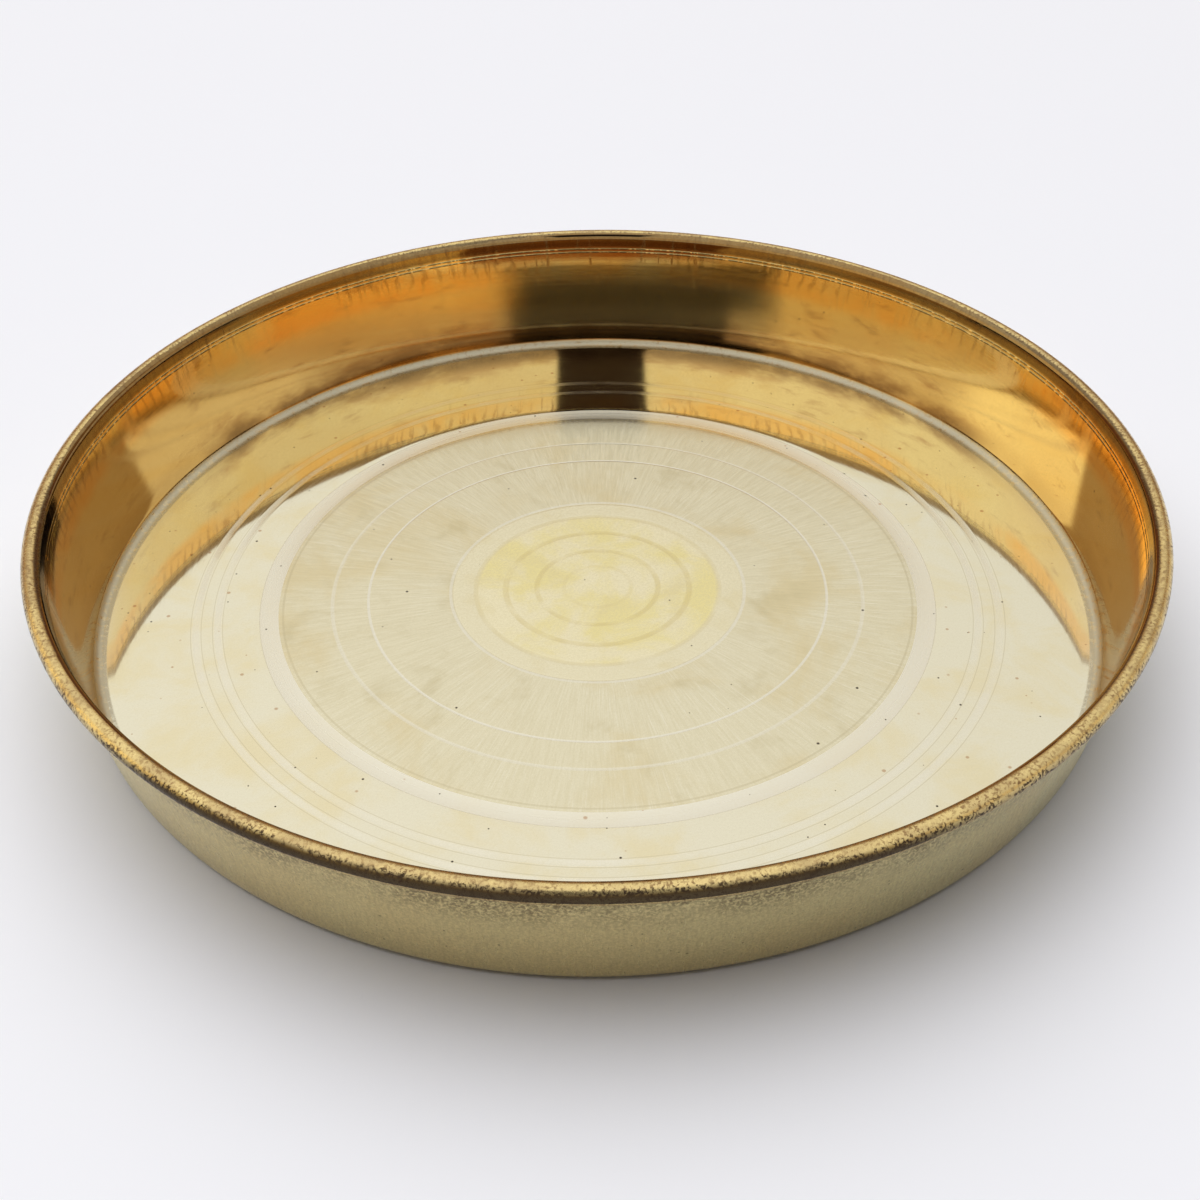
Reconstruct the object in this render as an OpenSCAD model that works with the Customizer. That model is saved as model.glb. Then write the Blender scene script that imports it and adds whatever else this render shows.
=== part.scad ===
// Thali plate: one sheet of brass spun into a flat floor, an upright wall and a rolled rim,
// with a round wire hoop inside the roll. Millimetres. The plate stands on the plane z = 0.

/* [Plate] */
// Diameter across the rolled rim
rim_d = 300; // [220:5:400]
// Height from the table to the top of the rolled rim
plate_h = 39.5; // [30:0.5:60]
// Lean of the wall away from upright, in degrees
wall_lean = 10.5; // [2:0.5:25]
// Inside radius of the bend between the floor and the wall
bend_r = 2.5; // [1.5:0.5:12]
// Thickness of the sheet
sheet_t = 1.2; // [0.8:0.1:1.6]

/* [Rolled rim] */
// Diameter of the wire in the rolled rim
wire_d = 2.4; // [1.8:0.2:4]
// Room between the wire and the sheet rolled round it
wire_room = 0.05; // [0.03:0.01:0.15]
// Gap between the two ends of the wire hoop
wire_end_gap = 0.8; // [0.3:0.1:3]
// Gap of the seam, between the edge of the sheet and the outside of the wall
seam_gap = 0.15; // [0.05:0.05:0.4]

/* [Lines scored in the wall] */
// Distance from the rolled rim down to the upper line
score_drop = 3.2; // [2:0.2:6]
// Distance between the two lines
score_pitch = 1.1; // [0.8:0.1:2]
// Width of a line
score_w = 0.35; // [0.2:0.05:0.6]
// Depth of a line
score_depth = 0.08; // [0.04:0.01:0.15]

/* [Rings turned in the floor] */
// Width of a soft ring in the middle disc
soft_ring_w = 2.2; // [1.2:0.2:3]
// Depth of a soft ring
soft_ring_depth = 0.04; // [0.03:0.01:0.15]
// Width of a fine ring
fine_ring_w = 0.8; // [0.4:0.1:1.4]
// Depth of a fine ring
fine_ring_depth = 0.05; // [0.04:0.01:0.15]
// Width of a bold ring, near the wall
bold_ring_w = 2.3; // [1.4:0.1:3]
// Depth of a bold ring
bold_ring_depth = 0.08; // [0.04:0.01:0.2]
// Width of the bright flat band
band_w = 4.8; // [3:0.2:6]
// Depth of the bright flat band
band_depth = 0.06; // [0.04:0.01:0.2]

/* [Hidden] */
$fn = 180;

brass = [0.80, 0.66, 0.36];
steel = [0.55, 0.55, 0.54];

// Places of the rings, as shares of the flat floor's radius, from the middle out
soft_ring_shares = [0.125, 0.190, 0.252];
disc_edge_share = 0.298;
fine_ring_shares = [0.472, 0.546];
band_share = 0.672;
bold_ring_shares = [0.776, 0.819];

// Every cut runs this far past the face it opens
overrun = 0.5;
full_turn = 360;

// The bead is the wire, its room and one thickness of sheet all round
curl_r = wire_d / 2 + wire_room;
bead_r = curl_r + sheet_t;
bead_centre_r = rim_d / 2 - bead_r;
bead_centre_z = plate_h - bead_r;

// The bend and the bead bulge this much past the faces of the wall, so that round and flat truly cross
bite = 0.01;

// In the wall's own frame: where its inside face stands, and where the middle of the bead is
bend_centre_z = sheet_t + bend_r;
wall_x = bend_r - bite;
bead_x = wall_x + bead_r - bite;
wall_len = (bead_centre_z - bend_centre_z + bead_x * sin(wall_lean)) / cos(wall_lean);
floor_r = bead_centre_r - bead_x * cos(wall_lean) - wall_len * sin(wall_lean);

// The wall runs on into the sheet of the bead by this much, clear of both its faces
wall_lap = sqrt(bite * (bead_r + curl_r));

// Angle that the gap between the ends of the wire takes out of the hoop
wire_gap_angle = full_turn * wire_end_gap / (2 * PI * bead_centre_r);

// Radius of the round tool that cuts a groove of this width and depth
function tool_r(width, depth) = (width * width / 4 + depth * depth) / (2 * depth);

// The wall's own frame: x leaves the bend's centre square to the wall, y runs up the wall
module in_wall_frame() {
    translate([floor_r, bend_centre_z])
        rotate(-wall_lean)
            children();
}

// Outline of the room inside the plate, grown outward by this skin: floor, bend and wall
module filled_outline(skin) {
    reach = bend_r + skin + overrun;
    translate([0, sheet_t - skin])
        square([floor_r, bend_r + skin]);
    intersection() {
        translate([floor_r, bend_centre_z])
            circle(bend_r + skin);
        translate([floor_r, bend_centre_z - reach])
            square([reach, reach + overrun]);
    }
    in_wall_frame()
        square([wall_x + skin, wall_len + wall_lap]);
}

// Outline of the rolled edge, which stops short of the outside of the wall at the seam
module curl_outline() {
    in_wall_frame()
        translate([bead_x, wall_len])
            difference() {
                circle(bead_r);
                circle(curl_r);
                translate([sheet_t / 2 - bead_r, -bead_r - overrun])
                    square([sheet_t / 2 + bite + seam_gap, bead_r + overrun]);
            }
}

// Outline of the whole sheet, from the middle of the floor to the rolled edge
module sheet_outline() {
    difference() {
        filled_outline(sheet_t);
        filled_outline(0);
    }
    curl_outline();
}

// A groove turned in the floor, with a round bottom
module floor_groove(place_share, width, depth) {
    rotate_extrude()
        translate([floor_r * place_share, sheet_t - depth + tool_r(width, depth)])
            circle(tool_r(width, depth));
}

// The wide band turned in the floor, with a flat bottom
module floor_band() {
    rotate_extrude()
        translate([floor_r * band_share - band_w / 2, sheet_t - band_depth])
            square([band_w, band_depth + overrun]);
}

// A line scored in the inside of the wall, at this distance below the bead
module wall_score(drop) {
    rotate_extrude()
        in_wall_frame()
            translate([wall_x + score_depth - tool_r(score_w, score_depth), wall_len - drop])
                circle(tool_r(score_w, score_depth));
}

// The spun sheet: floor, bend, wall and rolled rim in one piece
module plate() {
    color(brass)
        difference() {
            rotate_extrude()
                sheet_outline();
            for (place_share = soft_ring_shares)
                floor_groove(place_share, soft_ring_w, soft_ring_depth);
            floor_groove(disc_edge_share, fine_ring_w, soft_ring_depth);
            for (place_share = fine_ring_shares)
                floor_groove(place_share, fine_ring_w, fine_ring_depth);
            floor_band();
            for (place_share = bold_ring_shares)
                floor_groove(place_share, bold_ring_w, bold_ring_depth);
            wall_score(score_drop);
            wall_score(score_drop + score_pitch);
        }
}

// The wire hoop that the edge is rolled round, with its ends almost meeting
module rim_wire() {
    color(steel)
        translate([0, 0, bead_centre_z])
            rotate_extrude(angle = full_turn - wire_gap_angle)
                translate([bead_centre_r, 0])
                    circle(wire_d / 2);
}

plate();
rim_wire();
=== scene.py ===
import math

import bmesh
import bpy
from mathutils import Matrix, Vector, noise


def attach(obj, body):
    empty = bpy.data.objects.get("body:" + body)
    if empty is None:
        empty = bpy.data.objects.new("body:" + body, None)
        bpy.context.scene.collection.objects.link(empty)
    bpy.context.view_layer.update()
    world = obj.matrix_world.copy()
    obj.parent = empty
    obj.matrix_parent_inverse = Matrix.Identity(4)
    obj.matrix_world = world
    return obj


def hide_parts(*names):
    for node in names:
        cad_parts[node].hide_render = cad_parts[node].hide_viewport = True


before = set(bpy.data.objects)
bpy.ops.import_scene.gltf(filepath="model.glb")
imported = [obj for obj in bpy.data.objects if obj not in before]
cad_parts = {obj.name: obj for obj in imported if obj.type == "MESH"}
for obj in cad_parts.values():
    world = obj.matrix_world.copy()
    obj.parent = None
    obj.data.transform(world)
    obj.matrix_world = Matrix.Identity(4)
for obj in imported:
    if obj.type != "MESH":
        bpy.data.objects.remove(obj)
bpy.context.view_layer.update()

# The plate: one disc of brass sheet, spun on a lathe into a flat floor, an
# upright wall and a rolled rim. Its outline is drawn from the middle of the
# floor, over the rim and back underneath, and is then spun round the axis.

rim_radius = 0.150
plate_height = 0.0395
sheet = 0.0012
wall_lean = math.radians(10.5)
bend_radius = 0.0025
bead_radius = 0.00245
curl_radius = bead_radius - sheet
seam_gap = 0.00015

bead_middle = Vector((rim_radius - bead_radius, 0, plate_height - bead_radius))
bend_height = sheet + bend_radius
bend_to_bead = bend_radius + bead_radius
wall_rise = bead_middle.z - bend_height
wall_length = (wall_rise + bend_to_bead * math.sin(wall_lean)) / math.cos(wall_lean)
floor_radius = bead_middle.x - bend_to_bead * math.cos(wall_lean) - wall_length * math.sin(wall_lean)
bend_middle = Vector((floor_radius, 0, bend_height))
out_of_wall = Vector((math.cos(wall_lean), 0, -math.sin(wall_lean)))
up_the_wall = Vector((math.sin(wall_lean), 0, math.cos(wall_lean)))

outline = bmesh.new()


def draw_to(tip, place, longest=0.003):
    """Carries the outline straight on to a place, in equal steps no longer than this."""
    steps = max(1, math.ceil((place - tip.co).length / longest))
    step = (place - tip.co) / steps
    for _ in range(steps):
        tip = bmesh.ops.extrude_vert_indiv(outline, verts=[tip])["verts"][0]
        bmesh.ops.translate(outline, verts=[tip], vec=step)
    return tip


def draw_round(tip, middle, angle, steps):
    """Carries the outline on round a middle; a positive angle turns it clockwise."""
    made = bmesh.ops.spin(outline, geom=[tip], cent=middle, axis=(0, 1, 0), angle=angle, steps=steps)
    return [v for v in made["geom_last"] if isinstance(v, bmesh.types.BMVert)][0]


def draw_groove(tip, place, along, depth_way, width, depth, steps):
    """Carries the outline on to a round-bottomed groove and through it."""
    tool = (width * width / 4 + depth * depth) / (2 * depth)
    half = width * 0.5
    lead = width * 0.55
    tip = draw_to(tip, place - along * lead)
    tip = draw_to(tip, place - along * half)
    tip = draw_round(tip, place + depth_way * (depth - tool), -2 * math.asin(half / tool), steps)
    return draw_to(tip, place + along * lead)


def floor_groove(tip, radius, height, width, depth, steps):
    """Carries the outline out to a groove at this radius, cut down from this height, and through it."""
    outward, downward = Vector((1, 0, 0)), Vector((0, 0, -1))
    return draw_groove(tip, Vector((radius, 0, height)), outward, downward, width, depth, steps)


tip = outline.verts.new((0, 0, sheet))

# The rings turned in the floor, from the middle out
ring_steps = 6
for ring_radius, ring_width, ring_depth in (
    (0.0171, 0.0022, 0.00002), (0.0259, 0.0022, 0.00002), (0.0343, 0.0022, 0.00002),
    (0.0407, 0.0008, 0.00002), (0.0644, 0.0008, 0.00003), (0.0744, 0.0008, 0.00002),
):
    tip = floor_groove(tip, ring_radius, sheet, ring_width, ring_depth, ring_steps)

# The bright flat band, a shallow step down with one fine line in it
band_inside, band_outside, band_depth, band_edge = 0.08925, 0.09405, 0.00003, 0.0004
line_radius, line_width, line_depth, line_steps = 0.0915, 0.0005, 0.00001, 4
band_floor = sheet - band_depth
tip = draw_to(tip, Vector((band_inside, 0, sheet)))
tip = draw_to(tip, Vector((band_inside + band_edge, 0, band_floor)))
tip = floor_groove(tip, line_radius, band_floor, line_width, line_depth, line_steps)
tip = draw_to(tip, Vector((band_outside - band_edge, 0, band_floor)))
tip = draw_to(tip, Vector((band_outside, 0, sheet)))

# The two bold rings near the wall
bold_width, bold_depth, bold_steps = 0.0023, 0.000015, 8
for ring_radius in (0.1058, 0.1117):
    tip = floor_groove(tip, ring_radius, sheet, bold_width, bold_depth, bold_steps)

# The bend, the wall with its two scored lines, and the outside of the roll, round to the seam
bend_steps, bead_steps, curl_steps = 10, 40, 24
score_width, score_depth, score_steps = 0.00035, 0.00008, 4
tip = draw_to(tip, Vector((floor_radius, 0, sheet)))
tip = draw_round(tip, bend_middle, wall_lean - math.pi / 2, bend_steps)
wall_inside = bend_middle + out_of_wall * bend_radius
for drop in (0.0043, 0.0032):
    score_place = wall_inside + up_the_wall * (wall_length - drop)
    tip = draw_groove(tip, score_place, up_the_wall, out_of_wall, score_width, score_depth, score_steps)
tip = draw_to(tip, wall_inside + up_the_wall * wall_length)
seam_place = seam_gap - curl_radius
tip = draw_round(tip, bead_middle, math.pi + math.acos(seam_place / bead_radius), bead_steps)

# Inside the roll, back to the outside of the wall, down it and underneath
seam_drop = math.sqrt(curl_radius ** 2 - seam_place ** 2)
tip = draw_to(tip, bead_middle + out_of_wall * seam_place - up_the_wall * seam_drop)
tip = draw_round(tip, bead_middle, -math.pi - math.acos(seam_place / curl_radius), curl_steps)
tip = draw_to(tip, bend_middle + out_of_wall * (bend_radius + sheet), longest=0.004)
tip = draw_round(tip, bend_middle, math.pi / 2 - wall_lean, bend_steps)
tip = draw_to(tip, Vector((0, 0, 0)), longest=0.012)

steps_round = 360
weld_within = 1e-6
bmesh.ops.spin(outline, geom=outline.verts[:] + outline.edges[:], cent=(0, 0, 0), axis=(0, 0, 1),
               angle=2 * math.pi, steps=steps_round, use_merge=True)
bmesh.ops.remove_doubles(outline, verts=outline.verts[:], dist=weld_within)
bmesh.ops.recalc_face_normals(outline, faces=outline.faces[:])

# A spun sheet is never quite true: the floor rises by up to a tenth of a
# millimetre, and the wall leans in by up to two tenths
floor_waver, floor_swells, floor_margin = 0.00012, 16, 0.03
wall_waver, swells_round, swells_up = 0.0002, 2.2, 30
for v in outline.verts:
    radius = math.hypot(v.co.x, v.co.y)
    height = v.co.z
    if radius < floor_radius:
        easing = min(1, (floor_radius - radius) / floor_margin)
        swell = 0.5 + 0.5 * noise.noise(Vector((v.co.x, v.co.y, 0)) * floor_swells)
        v.co.z += floor_waver * easing * swell
    else:
        around = Vector((v.co.x, v.co.y, 0)) / radius
        swell = 0.5 + 0.5 * noise.noise(around * swells_round + Vector((0, 0, height * swells_up)))
        v.co -= around * wall_waver * swell * min(1, height / plate_height)

plate_mesh = bpy.data.meshes.new("plate_sheet")
outline.to_mesh(plate_mesh)
outline.free()
plate_mesh.shade_smooth()
plate = bpy.data.objects.new("plate_sheet", plate_mesh)
bpy.context.collection.objects.link(plate)

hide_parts("plate")
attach(plate, "root")


def put(tree, kind, inputs=(), **settings):
    """One node in a material or a group, with its inputs given by number or by name."""
    node = tree.nodes.new("ShaderNode" + kind)
    for name, value in settings.items():
        setattr(node, name, value)
    pairs = inputs.items() if isinstance(inputs, dict) else enumerate(inputs)
    for key, value in pairs:
        if isinstance(value, bpy.types.NodeSocket):
            tree.links.new(value, node.inputs[key])
        elif value is not None:
            node.inputs[key].default_value = value
    return node


def reckon(tree, operation, *values):
    """One sum on numbers."""
    return put(tree, "Math", values, operation=operation).outputs[0]


def times(tree, first, *others):
    """The product of numbers or masks."""
    for other in others:
        first = reckon(tree, "MULTIPLY", first, other)
    return first


def fade(tree, value, start, end, low=0.0, high=1.0):
    """A smooth change from low to high while the value goes from start to end."""
    return put(tree, "MapRange", (value, start, end, low, high), interpolation_type="SMOOTHSTEP").outputs[0]


def facing(tree, vector, side):
    """How far a direction faces a side."""
    return put(tree, "VectorMath", (vector, side), operation="DOT_PRODUCT").outputs["Value"]


def blend(tree, share, under, over):
    """One colour laid over another by this share."""
    return put(tree, "Mix", {0: share, 6: under, 7: over}, data_type="RGBA").outputs[2]


def new_effect(name, takes, gives):
    """An empty node group with these named inputs and outputs."""
    tree = bpy.data.node_groups.new(name, "ShaderNodeTree")
    for socket_name, kind, value in takes:
        socket = tree.interface.new_socket(socket_name, in_out="INPUT", socket_type="NodeSocket" + kind)
        if value is not None:
            socket.default_value = value
    for socket_name, kind in gives:
        tree.interface.new_socket(socket_name, in_out="OUTPUT", socket_type="NodeSocket" + kind)
    return tree, tree.nodes.new("NodeGroupInput").outputs, tree.nodes.new("NodeGroupOutput")


def lay(tree, effect, **values):
    """An effect placed in a material, with its own values."""
    node = tree.nodes.new("ShaderNodeGroup")
    node.node_tree = effect
    for name, value in values.items():
        if isinstance(value, bpy.types.NodeSocket):
            tree.links.new(value, node.inputs[name])
        else:
            node.inputs[name].default_value = value
    return node.outputs


# Where a point is on the spun sheet: how far out, how high, and which way round, in millimetres
ways, given, result = new_effect(
    "ways_round",
    (("Place", "Vector", None),),
    (("Out", "Float"), ("Up", "Float"), ("Along", "Float"), ("Round", "Vector")),
)
millimetres = 1000.0
parts = put(ways, "SeparateXYZ", (given["Place"],)).outputs
level = put(ways, "CombineXYZ", (parts["X"], parts["Y"], 0.0)).outputs[0]
out = times(ways, put(ways, "VectorMath", (level,), operation="LENGTH").outputs["Value"], millimetres)
up = times(ways, parts["Z"], millimetres)
ways.links.new(out, result.inputs["Out"])
ways.links.new(up, result.inputs["Up"])
ways.links.new(reckon(ways, "ADD", out, up), result.inputs["Along"])
ways.links.new(put(ways, "VectorMath", (level,), operation="NORMALIZE").outputs[0], result.inputs["Round"])

# Grain: long across the plate where it changes often round it, and in rings where it changes often along it
grain, given, result = new_effect(
    "grain",
    (("Round", "Vector", None), ("Along", "Float", 0.0), ("Count", "Float", 60.0), ("Length", "Float", 20.0)),
    (("Grain", "Float"),),
)
turned = put(grain, "VectorMath", {0: given["Round"], "Scale": given["Count"]}, operation="SCALE").outputs[0]
rise = reckon(grain, "DIVIDE", given["Along"], given["Length"])
risen = put(grain, "CombineXYZ", (0.0, 0.0, rise)).outputs[0]
grain_place = put(grain, "VectorMath", (turned, risen), operation="ADD").outputs[0]
lines = put(grain, "TexNoise", {"Vector": grain_place, "Scale": 1.0, "Detail": 4.0, "Roughness": 0.65})
grain.links.new(lines.outputs[0], result.inputs["Grain"])


def streaks(tree, way, count, length):
    """The grain at a point: its count round the plate, and its length in millimetres."""
    return lay(tree, grain, Round=way["Round"], Along=way["Along"], Count=count, Length=length)["Grain"]


# Specks: pits and spots of tarnish, each of its own size, in this share of the cells
specks, given, result = new_effect(
    "specks",
    (("Place", "Vector", None), ("Spacing", "Float", 4.0), ("Share", "Float", 0.2), ("Size", "Float", 0.25)),
    (("Speck", "Float"),),
)
often = reckon(specks, "DIVIDE", millimetres, given["Spacing"])
cells = put(specks, "TexVoronoi", {"Vector": given["Place"], "Scale": often})
chance = put(specks, "SeparateColor", (cells.outputs["Color"],)).outputs
reach = times(specks, given["Size"], reckon(specks, "ADD", 0.4, chance[1]))
spot = put(specks, "MapRange", (cells.outputs["Distance"], times(specks, reach, 0.6), reach, 1.0, 0.0))
taken = reckon(specks, "LESS_THAN", chance[0], given["Share"])
specks.links.new(times(specks, spot.outputs[0], taken), result.inputs["Speck"])


def dots_at(tree, place, spacing, share, size):
    """The specks at a point, with their spacing in millimetres."""
    return lay(tree, specks, Place=place, Spacing=spacing, Share=share, Size=size)["Speck"]


# Patches: soft clouds of stain or wear, from where the cloud begins to where it is full
patches, given, result = new_effect(
    "patches",
    (("Place", "Vector", None), ("Size", "Float", 20.0), ("Begin", "Float", 0.5), ("Full", "Float", 0.65)),
    (("Patch", "Float"),),
)
often = reckon(patches, "DIVIDE", millimetres, given["Size"])
cloud = put(patches, "TexNoise", {"Vector": given["Place"], "Scale": often,
                                  "Detail": 5.0, "Roughness": 0.6, "Distortion": 0.4})
patches.links.new(fade(patches, cloud.outputs[0], given["Begin"], given["Full"]), result.inputs["Patch"])


def clouds(tree, place, size, begin, full):
    """The patches at a point, with their size in millimetres."""
    return lay(tree, patches, Place=place, Size=size, Begin=begin, Full=full)["Patch"]


# Ring: one turned line, or a band, at this distance out or up
ring, given, result = new_effect(
    "ring",
    (("Way", "Float", 0.0), ("Middle", "Float", 100.0), ("Width", "Float", 1.0)),
    (("Ring", "Float"),),
)
off = reckon(ring, "ABSOLUTE", reckon(ring, "SUBTRACT", given["Way"], given["Middle"]))
half = times(ring, given["Width"], 0.5)
ring.links.new(fade(ring, off, times(ring, half, 0.5), half, 1.0, 0.0), result.inputs["Ring"])


def line_at(tree, way, middle, width):
    """The ring at a point, with its middle and its width in millimetres."""
    return lay(tree, ring, Way=way, Middle=middle, Width=width)["Ring"]


# Pitted: every polished face of old brass is pitted too small to see, so its colour and gloss are never even
pitted, given, result = new_effect(
    "pitted",
    (("Place", "Vector", None), ("Size", "Float", 0.5)),
    (("Pitted", "Float"),),
)
often = reckon(pitted, "DIVIDE", millimetres, given["Size"])
dust = put(pitted, "TexNoise", {"Vector": given["Place"], "Scale": often, "Detail": 3.0, "Roughness": 0.7})
pitted.links.new(fade(pitted, dust.outputs[0], 0.3, 0.7), result.inputs["Pitted"])


def fine_pits(tree, place, size):
    """The pitting at a point, with its size in millimetres."""
    return lay(tree, pitted, Place=place, Size=size)["Pitted"]


def new_finish(name):
    """A metal finish: its node tree, its shader, and where the point being painted is."""
    material = bpy.data.materials.new(name)
    material.use_nodes = True
    tree = material.node_tree
    shader = tree.nodes["Principled BSDF"]
    shader.inputs["Metallic"].default_value = 1.0
    place = tree.nodes.new("ShaderNodeTexCoord").outputs["Object"]
    return material, tree, shader, place, lay(tree, ways, Place=place)


def raise_surface(tree, shader, height, depth, strength=1.0):
    """Fine relief: the height, from 0 to 1, stands for this depth in metres."""
    bump = put(tree, "Bump", {"Height": height, "Distance": depth, "Strength": strength})
    tree.links.new(bump.outputs[0], shader.inputs["Normal"])


def tint(tree, colour, share, over):
    """A colour laid over the one so far by a share, given as a mask and its strength."""
    mask, strength = share
    return blend(tree, times(tree, mask, strength), colour, over)


def cloth_worn(tree, place, near):
    """Where cloths have rubbed the foot of the wall grey, within the mask of what is near it."""
    return times(tree, near, fade(tree, fine_pits(tree, place, size=1.6), 0.0, 0.5, 0.55, 1.0))


pit_colour = (0.06, 0.04, 0.025, 1)
rust_colour = (0.42, 0.20, 0.07, 1)
pale_line = (0.80, 0.765, 0.64, 1)
cloth_grey = (0.50, 0.465, 0.345, 1)
# The side that faces the camera; the painted shade on the bead and the outside is heaviest towards it
camera_side = (-0.139, -0.990, 0.0)

# The middle disc: yellowed, with faint darker rings and a pale edge
middle, tree, shader, place, way = new_finish("brass_middle_disc")
yellow = clouds(tree, place, size=20.0, begin=0.38, full=0.62)
colour = blend(tree, yellow, (0.82, 0.745, 0.50, 1), (0.80, 0.70, 0.33, 1))
colour = blend(tree, fade(tree, way["Out"], 33.0, 34.6), colour, (0.78, 0.715, 0.50, 1))
for ring_radius, ring_width, strength in (
    (17.1, 2.0, 0.5), (25.9, 2.2, 0.5), (34.3, 1.8, 0.3), (9.5, 1.6, 0.2),
):
    turned_line = line_at(tree, way["Out"], middle=ring_radius, width=ring_width)
    broken = clouds(tree, place, size=9.0, begin=0.25, full=0.6)
    colour = tint(tree, colour, (times(tree, turned_line, broken), strength), (0.64, 0.52, 0.22, 1))
dull = clouds(tree, place, size=14.0, begin=0.5, full=0.75)
colour = tint(tree, colour, (dull, 0.5), (0.70, 0.60, 0.33, 1))
rub = fine_pits(tree, place, size=0.7)
colour = tint(tree, colour, (rub, 0.28), (0.70, 0.62, 0.40, 1))
colour = blend(tree, dots_at(tree, place, spacing=5.0, share=0.3, size=0.06), colour, pit_colour)
tree.links.new(colour, shader.inputs["Base Color"])
tree.links.new(fade(tree, rub, 0.0, 1.0, 0.14, 0.22), shader.inputs["Roughness"])
raise_surface(tree, shader, rub, 0.000002)

# The satin ring: rubbed from the middle out, so its grain runs like spokes, finer in some places
satin, tree, shader, place, way = new_finish("brass_satin")
spokes = streaks(tree, way, count=85.0, length=9.0)
hairs = streaks(tree, way, count=230.0, length=14.0)
colour = blend(tree, fade(tree, spokes, 0.3, 0.7), (0.71, 0.65, 0.45, 1), (0.765, 0.705, 0.505, 1))
bare = clouds(tree, place, size=45.0, begin=0.35, full=0.6)
hair = times(tree, fade(tree, hairs, 0.54, 0.64), bare)
colour = tint(tree, colour, (hair, 0.35), (0.93, 0.90, 0.76, 1))
stain = clouds(tree, place, size=36.0, begin=0.46, full=0.68)
colour = tint(tree, colour, (stain, 0.6), (0.68, 0.56, 0.30, 1))
shadow_stain = clouds(tree, place, size=17.0, begin=0.54, full=0.74)
colour = tint(tree, colour, (shadow_stain, 0.45), (0.52, 0.44, 0.24, 1))
for ring_radius, ring_width, strength in ((64.4, 1.0, 0.85), (74.4, 1.4, 0.5), (41.4, 1.2, 0.6)):
    turned_line = line_at(tree, way["Out"], middle=ring_radius, width=ring_width)
    colour = tint(tree, colour, (turned_line, strength), pale_line)
turned_edge = line_at(tree, way["Out"], middle=88.0, width=0.8)
colour = tint(tree, colour, (turned_edge, 0.3), (0.45, 0.38, 0.22, 1))
rub = fine_pits(tree, place, size=0.6)
colour = tint(tree, colour, (rub, 0.25), (0.60, 0.53, 0.35, 1))
colour = blend(tree, dots_at(tree, place, spacing=5.5, share=0.4, size=0.07), colour, pit_colour)
tree.links.new(colour, shader.inputs["Base Color"])
tree.links.new(fade(tree, spokes, 0.3, 0.7, 0.24, 0.17), shader.inputs["Roughness"])
raise_surface(tree, shader, spokes, 0.000006)

# The mirror ring: the last polish, with pale turned lines, small pits, rusty spots and yellow clouds
mirror, tree, shader, place, way = new_finish("brass_mirror")
haze = clouds(tree, place, size=26.0, begin=0.42, full=0.68)
colour = blend(tree, haze, (0.81, 0.76, 0.58, 1), (0.80, 0.71, 0.46, 1))
band = fade(tree, reckon(tree, "ABSOLUTE", reckon(tree, "SUBTRACT", way["Out"], 91.4)), 2.9, 3.2, 1.0, 0.0)
lines_mask = times(tree, band, 0.85)
line_wear = clouds(tree, place, size=30.0, begin=0.35, full=0.65)
for ring_radius, ring_width in ((105.8, 2.6), (111.7, 2.6)):
    turned_line = line_at(tree, way["Out"], middle=ring_radius, width=ring_width)
    turned_line = times(tree, turned_line, fade(tree, line_wear, 0.0, 1.0, 0.3, 0.6))
    lines_mask = reckon(tree, "MAXIMUM", lines_mask, turned_line)
colour = tint(tree, colour, (lines_mask, 0.9), (0.775, 0.74, 0.62, 1))
for ring_radius in (88.6, 94.4, 104.5, 107.2, 110.3, 113.1):
    turned_line = line_at(tree, way["Out"], middle=ring_radius, width=0.35)
    colour = tint(tree, colour, (turned_line, 0.35), (0.50, 0.43, 0.29, 1))
rust = dots_at(tree, place, spacing=5.0, share=0.45, size=0.11)
colour = tint(tree, colour, (rust, 0.6), rust_colour)
rub = fine_pits(tree, place, size=0.6)
colour = tint(tree, colour, (rub, 0.16), (0.64, 0.56, 0.37, 1))
colour = blend(tree, dots_at(tree, place, spacing=4.0, share=0.4, size=0.08), colour, pit_colour)
# The last of the floor before the bend, rubbed grey by cloths
foot = cloth_worn(tree, place, fade(tree, way["Out"], 135.1, 135.7))
colour = tint(tree, colour, (foot, 0.9), cloth_grey)
tree.links.new(colour, shader.inputs["Base Color"])
turning = streaks(tree, way, count=1.5, length=0.6)
rubbed_dull = reckon(tree, "MAXIMUM", lines_mask, foot)
gloss = reckon(tree, "ADD", fade(tree, turning, 0.3, 0.7, 0.03, 0.07), times(tree, rubbed_dull, 0.28))
tree.links.new(gloss, shader.inputs["Roughness"])
raise_surface(tree, shader, turning, 0.000001)

# The bend and the inside of the wall: deeper gold, with painted shade browning it near the floor and a
# painted amber reflection under the bead
wall, tree, shader, place, way = new_finish("brass_inside_wall")
cloud = clouds(tree, place, size=60.0, begin=0.40, full=0.64)
colour = blend(tree, cloud, (0.86, 0.68, 0.33, 1), (0.92, 0.75, 0.37, 1))
# Painted reflection: an amber glow in clouds over the upper wall, for the warmer reflection that the top of
# the wall shows under the bead
amber_reflection = clouds(tree, place, size=42.0, begin=0.36, full=0.58)
amber_reflection = times(tree, reckon(tree, "ADD", 0.2, amber_reflection), fade(tree, way["Up"], 22.0, 27.0, 0.12, 1.0))
colour = tint(tree, colour, (amber_reflection, 0.75), (0.98, 0.57, 0.16, 1))
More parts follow.
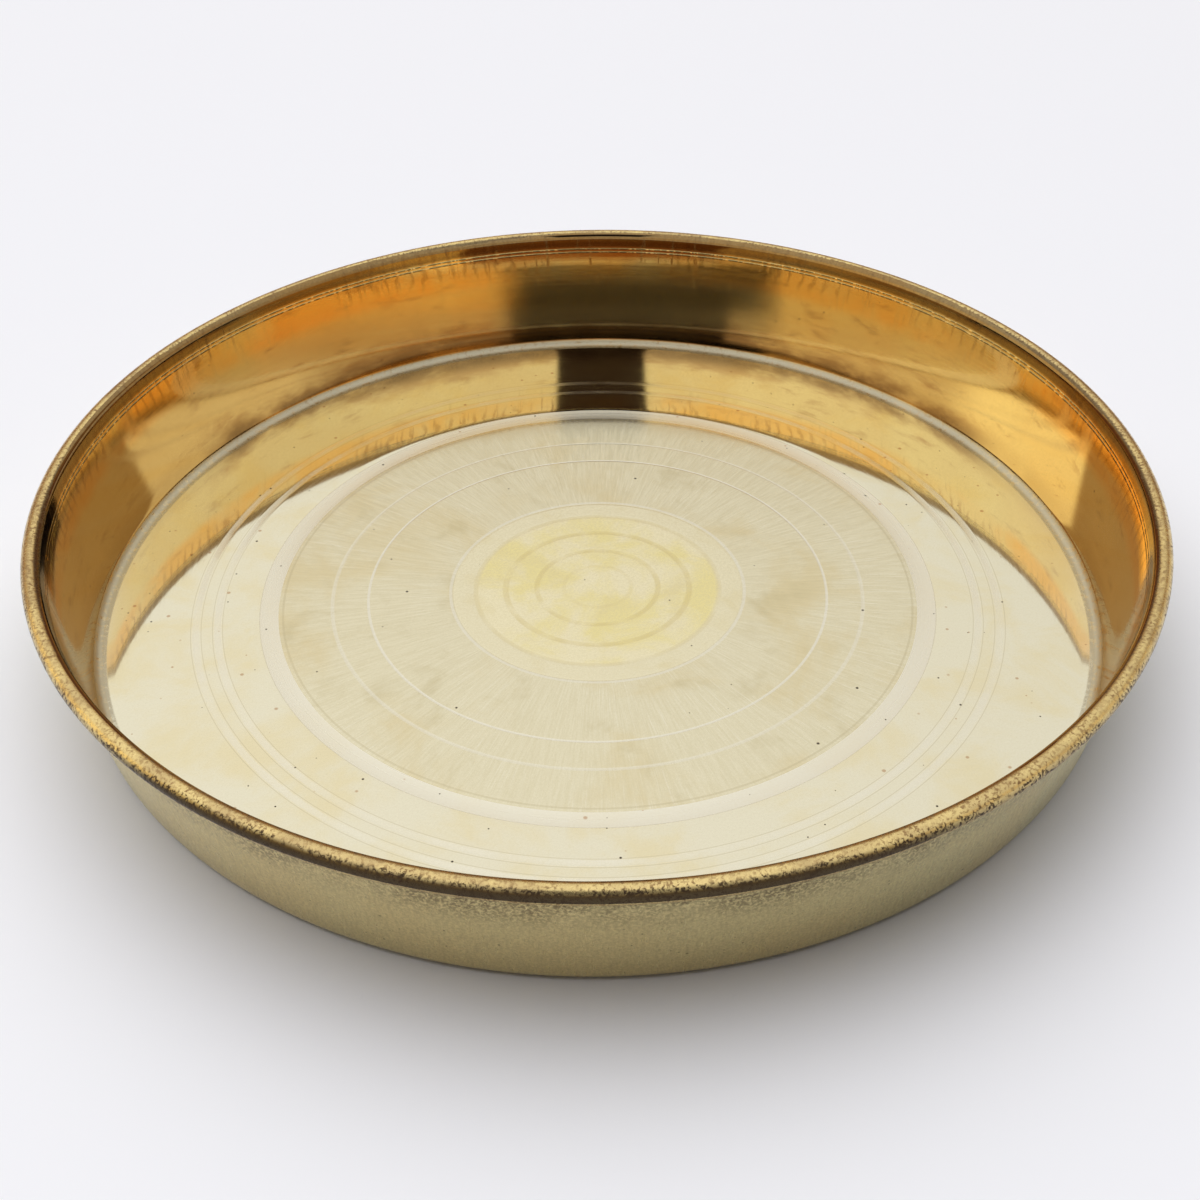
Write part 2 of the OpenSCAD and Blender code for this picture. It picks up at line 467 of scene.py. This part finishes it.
# Painted shade at the foot of the wall: a brown band with a wavering top, blackest in the corner against the
# floor and strongest on the far side; then brown smears drawn out along the wall
shade_wander = streaks(tree, way, count=5.0, length=14.0)
shade_top = times(tree, fade(tree, shade_wander, 0.28, 0.72), 9.0)
foot_shade = fade(tree, reckon(tree, "SUBTRACT", way["Up"], shade_top), -1.0, 8.0, 1.0, 0.0)
flat = put(tree, "SeparateXYZ", (way["Round"],)).outputs
far_wall = fade(tree, flat["Y"], 0.42, 0.60, 0.2, 1.0)
colour = tint(tree, colour, (times(tree, foot_shade, far_wall), 0.7), (0.52, 0.29, 0.12, 1))
corner_shade = times(tree, fade(tree, way["Up"], 3.5, 10.0, 1.0, 0.0), fade(tree, shade_wander, 0.26, 0.66))
colour = tint(tree, colour, (times(tree, corner_shade, far_wall), 0.8), (0.14, 0.085, 0.045, 1))
smear = streaks(tree, way, count=9.0, length=5.0)
smear = times(tree, fade(tree, smear, 0.54, 0.74), fade(tree, way["Up"], 5.0, 9.0))
colour = tint(tree, colour, (smear, 0.4), (0.40, 0.20, 0.08, 1))
# Marks left by the roller, at an even pitch, in some places only
turn = reckon(tree, "ARCTAN2", flat["Y"], flat["X"])
wander = clouds(tree, place, size=25.0, begin=0.2, full=0.8)
beat = reckon(tree, "SINE", reckon(tree, "ADD", times(tree, turn, 208.0),
                                   times(tree, wander, 9.0)))
chatter = times(tree, fade(tree, beat, 0.35, 0.95), fade(tree, way["Up"], 26.0, 31.0))
marked = clouds(tree, place, size=50.0, begin=0.42, full=0.55)
colour = tint(tree, colour, (times(tree, chatter, marked), 0.45), (0.36, 0.17, 0.05, 1))
streak = streaks(tree, way, count=90.0, length=22.0)
dark_streak = times(tree, fade(tree, streak, 0.56, 0.70), fade(tree, way["Up"], 16.0, 34.0))
colour = tint(tree, colour, (dark_streak, 0.5), (0.30, 0.14, 0.05, 1))
for score_height in (33.08, 34.17):
    scored = line_at(tree, way["Up"], middle=score_height, width=0.6)
    broken = streaks(tree, way, count=160.0, length=6.0)
    colour = tint(tree, colour, (times(tree, scored, fade(tree, broken, 0.38, 0.5)), 0.85), pit_colour)
# Painted shade: a dark band along the top of the wall where it meets the bead
colour = tint(tree, colour, (fade(tree, way["Up"], 34.3, 35.4), 0.85), (0.13, 0.08, 0.04, 1))
spots = dots_at(tree, place, spacing=4.0, share=0.35, size=0.08)
colour = tint(tree, colour, (spots, 0.7), (0.18, 0.09, 0.03, 1))
rub = fine_pits(tree, place, size=0.6)
colour = tint(tree, colour, (rub, 0.22), (0.62, 0.42, 0.17, 1))
# The bend at the foot, rubbed grey by cloths
foot = cloth_worn(tree, place, fade(tree, way["Up"], 2.3, 3.1, 1.0, 0.0))
colour = tint(tree, colour, (foot, 0.9), cloth_grey)
tree.links.new(colour, shader.inputs["Base Color"])
turning = streaks(tree, way, count=2.5, length=0.8)
gloss = reckon(tree, "ADD", fade(tree, turning, 0.3, 0.7, 0.04, 0.08), times(tree, foot, 0.4))
tree.links.new(reckon(tree, "ADD", gloss, times(tree, dark_streak, 0.15)), shader.inputs["Roughness"])
raise_surface(tree, shader, turning, 0.0000015)

# The bead: worn gold on top, thick with brown specks, with painted shade darkening its inner side where it
# meets the wall and blackening its lower outer side, most on the side facing the camera
bead, tree, shader, place, way = new_finish("brass_bead")
worn = clouds(tree, place, size=14.0, begin=0.4, full=0.65)
colour = blend(tree, worn, (0.82, 0.64, 0.28, 1), (0.60, 0.45, 0.21, 1))
crumbs = clouds(tree, place, size=0.8, begin=0.46, full=0.62)
crumb_clouds = clouds(tree, place, size=9.0, begin=0.25, full=0.7)
crumb_share = times(tree, crumbs, reckon(tree, "ADD", 0.3, crumb_clouds))
colour = tint(tree, colour, (crumb_share, 0.75), (0.27, 0.16, 0.07, 1))
rub = fine_pits(tree, place, size=0.5)
colour = tint(tree, colour, (rub, 0.3), (0.45, 0.30, 0.12, 1))
outer = reckon(tree, "ADD", reckon(tree, "SUBTRACT", way["Out"], 147.55), times(tree, crumb_share, 0.6))
# Painted shade: the lower outer side of the bead is painted black, reaching higher on the side facing the
# camera
camera_facing = facing(tree, way["Round"], camera_side)
edge = reckon(tree, "SUBTRACT", outer, fade(tree, camera_facing, 0.72, 0.94, 1.25, 0.35))
bead_underside_shade = times(tree, fade(tree, edge, 0.6, 1.7), fade(tree, way["Up"], 36.4, 36.7))
colour = tint(tree, colour, (bead_underside_shade, 0.95), (0.04, 0.027, 0.018, 1))
# Painted shade: the inner side of the bead, where it meets the wall, is painted dark brown
inner = reckon(tree, "ADD", reckon(tree, "SUBTRACT", 147.55, way["Out"]), times(tree, crumbs, 0.25))
colour = tint(tree, colour, (fade(tree, inner, 0.9, 1.5), 0.85), (0.12, 0.08, 0.045, 1))
tree.links.new(colour, shader.inputs["Base Color"])
tree.links.new(fade(tree, crumbs, 0.0, 1.0, 0.24, 0.45), shader.inputs["Roughness"])
raise_surface(tree, shader, crumbs, 0.00002, 0.5)

# The outside: left satin, greyed and greenish, with painted shade that makes it browner on the side facing
# the camera and darker towards the foot, and soot specks under the bead deepened with painted shade
outside, tree, shader, place, way = new_finish("brass_outside")
greened = clouds(tree, place, size=50.0, begin=0.38, full=0.66)
colour = blend(tree, greened, (0.93, 0.81, 0.45, 1), (0.86, 0.82, 0.49, 1))
# Painted shade: the side facing the camera is painted browner and darker
camera_facing = facing(tree, way["Round"], camera_side)
camera_side_shade = fade(tree, camera_facing, 0.55, 0.97)
colour = tint(tree, colour, (camera_side_shade, 0.6), (0.84, 0.66, 0.29, 1))
rubbed = streaks(tree, way, count=170.0, length=5.0)
colour = tint(tree, colour, (fade(tree, rubbed, 0.42, 0.68), 0.3), (0.58, 0.48, 0.25, 1))
rub = fine_pits(tree, place, size=0.6)
colour = tint(tree, colour, (rub, 0.35), (0.36, 0.29, 0.15, 1))
# Painted shade: darker towards the foot, where the wall mirrors the table's shadow
outside_foot_shade = fade(tree, way["Up"], 1.0, 13.0, 1.0, 0.0)
colour = tint(tree, colour, (outside_foot_shade, 0.15), (0.26, 0.21, 0.12, 1))
# Soot specks under the bead, deepened with painted shade: they grow towards the bead and are heaviest on the
# side facing the camera
soot_cloud = clouds(tree, place, size=0.8, begin=0.36, full=0.60)
soot_drift = clouds(tree, place, size=16.0, begin=0.2, full=0.6)
under_bead_reach = fade(tree, way["Up"], 18.0, 31.0)
soot_and_shade = times(tree, soot_cloud, under_bead_reach, soot_drift, fade(tree, camera_facing, 0.4, 0.9, 0.4, 1.0))
colour = tint(tree, colour, (soot_and_shade, 0.85), (0.11, 0.07, 0.035, 1))
dots = dots_at(tree, place, spacing=2.0, share=0.3, size=0.14)
colour = tint(tree, colour, (dots, 0.55), (0.13, 0.09, 0.05, 1))
tree.links.new(colour, shader.inputs["Base Color"])
tree.links.new(fade(tree, rubbed, 0.3, 0.7, 0.26, 0.36), shader.inputs["Roughness"])
raise_surface(tree, shader, rubbed, 0.000005)

# Each face takes the finish of the place that it lies in
finishes = (middle, satin, mirror, wall, bead, outside)
disc_radius, satin_radius, bead_skin = 0.0407, 0.0883, 0.00005
for finish in finishes:
    plate_mesh.materials.append(finish)
for face in plate_mesh.polygons:
    radius = math.hypot(face.center.x, face.center.y)
    from_bead = math.hypot(radius - bead_middle.x, face.center.z - bead_middle.z)
    if from_bead < bead_radius + bead_skin:
        finish = bead
    elif face.normal.z <= 0:
        finish = outside
    elif radius > floor_radius:
        finish = wall
    elif radius < disc_radius:
        finish = middle
    elif radius < satin_radius:
        finish = satin
    else:
        finish = mirror
    face.material_index = finishes.index(finish)

# The wire: a hoop of drawn steel that the edge of the sheet is rolled round.
# The bead hides it, so it keeps the CAD model's own mesh, and shows the long
# scratches that the drawing die leaves.

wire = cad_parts["rim_wire"]
drawn_steel, tree, shader, place, way = new_finish("drawn_steel")
drawn = streaks(tree, way, count=3.0, length=0.12)
colour = blend(tree, fade(tree, drawn, 0.3, 0.7), (0.42, 0.41, 0.39, 1), (0.57, 0.56, 0.54, 1))
scale_spots = clouds(tree, place, size=6.0, begin=0.55, full=0.7)
tree.links.new(tint(tree, colour, (scale_spots, 0.6), (0.22, 0.13, 0.08, 1)), shader.inputs["Base Color"])
tree.links.new(fade(tree, drawn, 0.3, 0.7, 0.28, 0.42), shader.inputs["Roughness"])
raise_surface(tree, shader, drawn, 0.000004)
wire.data.materials.clear()
wire.data.materials.append(drawn_steel)

# The table: a plain pale board, painted and dull, that the plate stands on.
# It lies at the height of the plate's underside and is wide enough to fill the view.

table_cut = bmesh.new()
bmesh.ops.create_circle(table_cut, cap_ends=True, radius=6, segments=96)
table_mesh = bpy.data.meshes.new("table")
table_cut.to_mesh(table_mesh)
table_cut.free()
table = bpy.data.objects.new("table", table_mesh)
bpy.context.collection.objects.link(table)
table_paint = bpy.data.materials.new("table_paint")
table_paint.use_nodes = True
shader = table_paint.node_tree.nodes["Principled BSDF"]
shader.inputs["Base Color"].default_value = (0.92, 0.92, 0.935, 1)
shader.inputs["Roughness"].default_value = 0.6
table_mesh.materials.append(table_paint)

# The room: a wide soft light overhead for all that isn't mirrored. What the brass mirrors is a studio:
# bright overhead, warm and dimmer to the sides, a dim warm backdrop low down
# behind the plate, and a narrow dark shape high up over the camera.

room = bpy.data.worlds.new("room")
room.use_nodes = True
bpy.context.scene.world = room
tree = room.node_tree
looking_at = tree.nodes.new("ShaderNodeTexCoord").outputs["Generated"]
looking = put(tree, "SeparateXYZ", (looking_at,)).outputs
overhead = facing(tree, looking_at, (-0.12, 0.35, 0.929))
soft_light = blend(tree, fade(tree, overhead, 0.5, 0.9), (0.09, 0.085, 0.09, 1), (1.94, 1.94, 1.99, 1))
# What is mirrored, from the height of the table up to overhead
ramp = put(tree, "ValToRGB", (looking["Z"],))
stops = ramp.color_ramp.elements
stops[0].position, stops[0].color = 0.0, (0.82, 0.82, 0.82, 1)
stops[1].position, stops[1].color = 0.10, (0.80, 0.76, 0.70, 1)
for height, colour in (
    (0.18, (0.88, 0.76, 0.58, 1)),
    (0.44, (0.86, 0.73, 0.58, 1)),
    (0.50, (0.90, 0.87, 0.82, 1)),
    (0.58, (0.94, 0.93, 0.91, 1)),
    (1.00, (1.04, 1.04, 1.05, 1)),
):
    stops.new(height).color = colour
mirrored = ramp.outputs["Color"]
# The window at the left, low enough for only the wall to show it
leftward = fade(tree, looking["X"], -0.45, -0.75)
window = times(tree, leftward, fade(tree, looking["Z"], 0.44, 0.50, 1.0, 0.0))
mirrored = blend(tree, window, mirrored, (1.15, 0.98, 0.66, 1))
# The backdrop stands between two slanted edges, and reaches higher in what the wall passes on to the floor.
# Ray Depth counts the camera's own ray too, so it is over 2.5 once two faces in turn have mirrored the room.
path = tree.nodes.new("ShaderNodeLightPath").outputs
twice = reckon(tree, "GREATER_THAN", path["Ray Depth"], 2.5)
thrice = reckon(tree, "GREATER_THAN", path["Ray Depth"], 3.5)
right_edge = facing(tree, looking_at, (0.187, -0.107, -0.302))
left_edge = facing(tree, looking_at, (-0.103, -0.261, 0.257))
left_of_right = fade(tree, right_edge, -0.004, 0.004, 1.0, 0.0)
right_of_left = fade(tree, left_edge, -0.004, 0.004, 1.0, 0.0)
backdrop = times(tree, left_of_right, right_of_left, fade(tree, looking["Y"], 0.0, 0.02))
once_low = fade(tree, looking["Z"], 0.48, 0.50, 1.0, 0.0)
twice_low = times(tree, twice, fade(tree, looking["Z"], 0.58, 0.60, 1.0, 0.0))
low = reckon(tree, "MAXIMUM", once_low, twice_low)
lower, upper = (0.27, 0.13, 0.075, 1), (0.42, 0.28, 0.15, 1)
low_colour = blend(tree, fade(tree, looking["Z"], 0.29, 0.33), lower, upper)
mirrored = blend(tree, times(tree, backdrop, low), mirrored, low_colour)
# The front of the room, low down: dim where the foot of the far wall shows it
frontward = reckon(tree, "MULTIPLY_ADD", looking["X"], 0.2, looking["Y"])
dim_front = times(tree, fade(tree, frontward, -0.05, -0.3), fade(tree, looking["Z"], 0.26, 0.30, 0.55, 0.0))
mirrored = blend(tree, times(tree, twice, dim_front), mirrored, (0.35, 0.20, 0.10, 1))
# Dark cards, which only the far wall shows: one on the backdrop, one low down under the camera
high = times(tree, fade(tree, looking["Z"], 0.28, 0.33), fade(tree, looking["Z"], 0.56, 0.58, 1.0, 0.0))
card = times(tree, backdrop, high, thrice)
aside = reckon(tree, "ABSOLUTE", reckon(tree, "ADD", looking["X"], 0.09))
between = fade(tree, aside, 0.40, 0.43, 1.0, 0.0)
in_front = fade(tree, looking["Y"], -0.55, -0.6)
under = times(tree, between, in_front, fade(tree, looking["Z"], 0.38, 0.44, 1.0, 0.0), twice)
mirrored = blend(tree, reckon(tree, "MAXIMUM", card, under), mirrored, (0.006, 0.006, 0.012, 1))
# The left of the room where three faces in turn have shown it: dimmer low down, with an orange lamp above
below_lamp = fade(tree, looking["Z"], 0.49, 0.52, 0.6, 0.0)
dim_left = times(tree, thrice, fade(tree, looking["X"], -0.4, -0.65), below_lamp)
mirrored = blend(tree, dim_left, mirrored, (0.45, 0.29, 0.20, 1))
lamp = times(tree, thrice, fade(tree, looking["X"], -0.35, -0.55), fade(tree, looking["Z"], 0.50, 0.53))
mirrored = blend(tree, lamp, mirrored, (1.40, 1.05, 0.45, 1))
# The dark shape over the camera
aside = reckon(tree, "ABSOLUTE", reckon(tree, "ADD", looking["X"], 0.02))
between = fade(tree, aside, 0.13, 0.145, 1.0, 0.0)
over = times(tree, between, fade(tree, looking["Y"], -0.3, -0.35), fade(tree, looking["Z"], 0.60, 0.62))
mirrored = blend(tree, over, mirrored, (0.04, 0.03, 0.03, 1))
backing = tree.nodes["Background"]
for_brass = times(tree, path["Is Glossy Ray"], reckon(tree, "LESS_THAN", path["Diffuse Depth"], 0.5))
lit = blend(tree, for_brass, soft_light, mirrored)
# Past the far edge of the table the camera sees a pale wall
tree.links.new(blend(tree, path["Is Camera Ray"], lit, (0.87, 0.87, 0.89, 1)), backing.inputs["Color"])
tree.links.new(fade(tree, looking["X"], -0.9, 0.9, 1.09, 0.92), backing.inputs["Strength"])

# The camera stands in front of the plate and looks down into it. Its place,
# its turn and its lens are the ones that put the plate's circles where the photo has them.

camera_distance = 0.47443
camera_elevation = math.radians(37.688)
turned_right = math.radians(0.101)
tipped_up = math.radians(-0.348)
rolled = math.radians(-0.678)

lens = bpy.data.cameras.new("camera")
lens.sensor_width = 36
lens.lens = 50.274
camera = bpy.data.objects.new("camera", lens)
camera_back = -camera_distance * math.cos(camera_elevation)
camera_height = camera_distance * math.sin(camera_elevation)
camera.matrix_world = (
    Matrix.Translation((0, camera_back, camera_height))
    @ Matrix.Rotation(-turned_right, 4, "Z")
    @ Matrix.Rotation(math.pi / 2 - camera_elevation + tipped_up, 4, "X")
    @ Matrix.Rotation(rolled, 4, "Z")
)
bpy.context.collection.objects.link(camera)
bpy.context.scene.camera = camera
bpy.context.scene.view_settings.view_transform = "Standard"
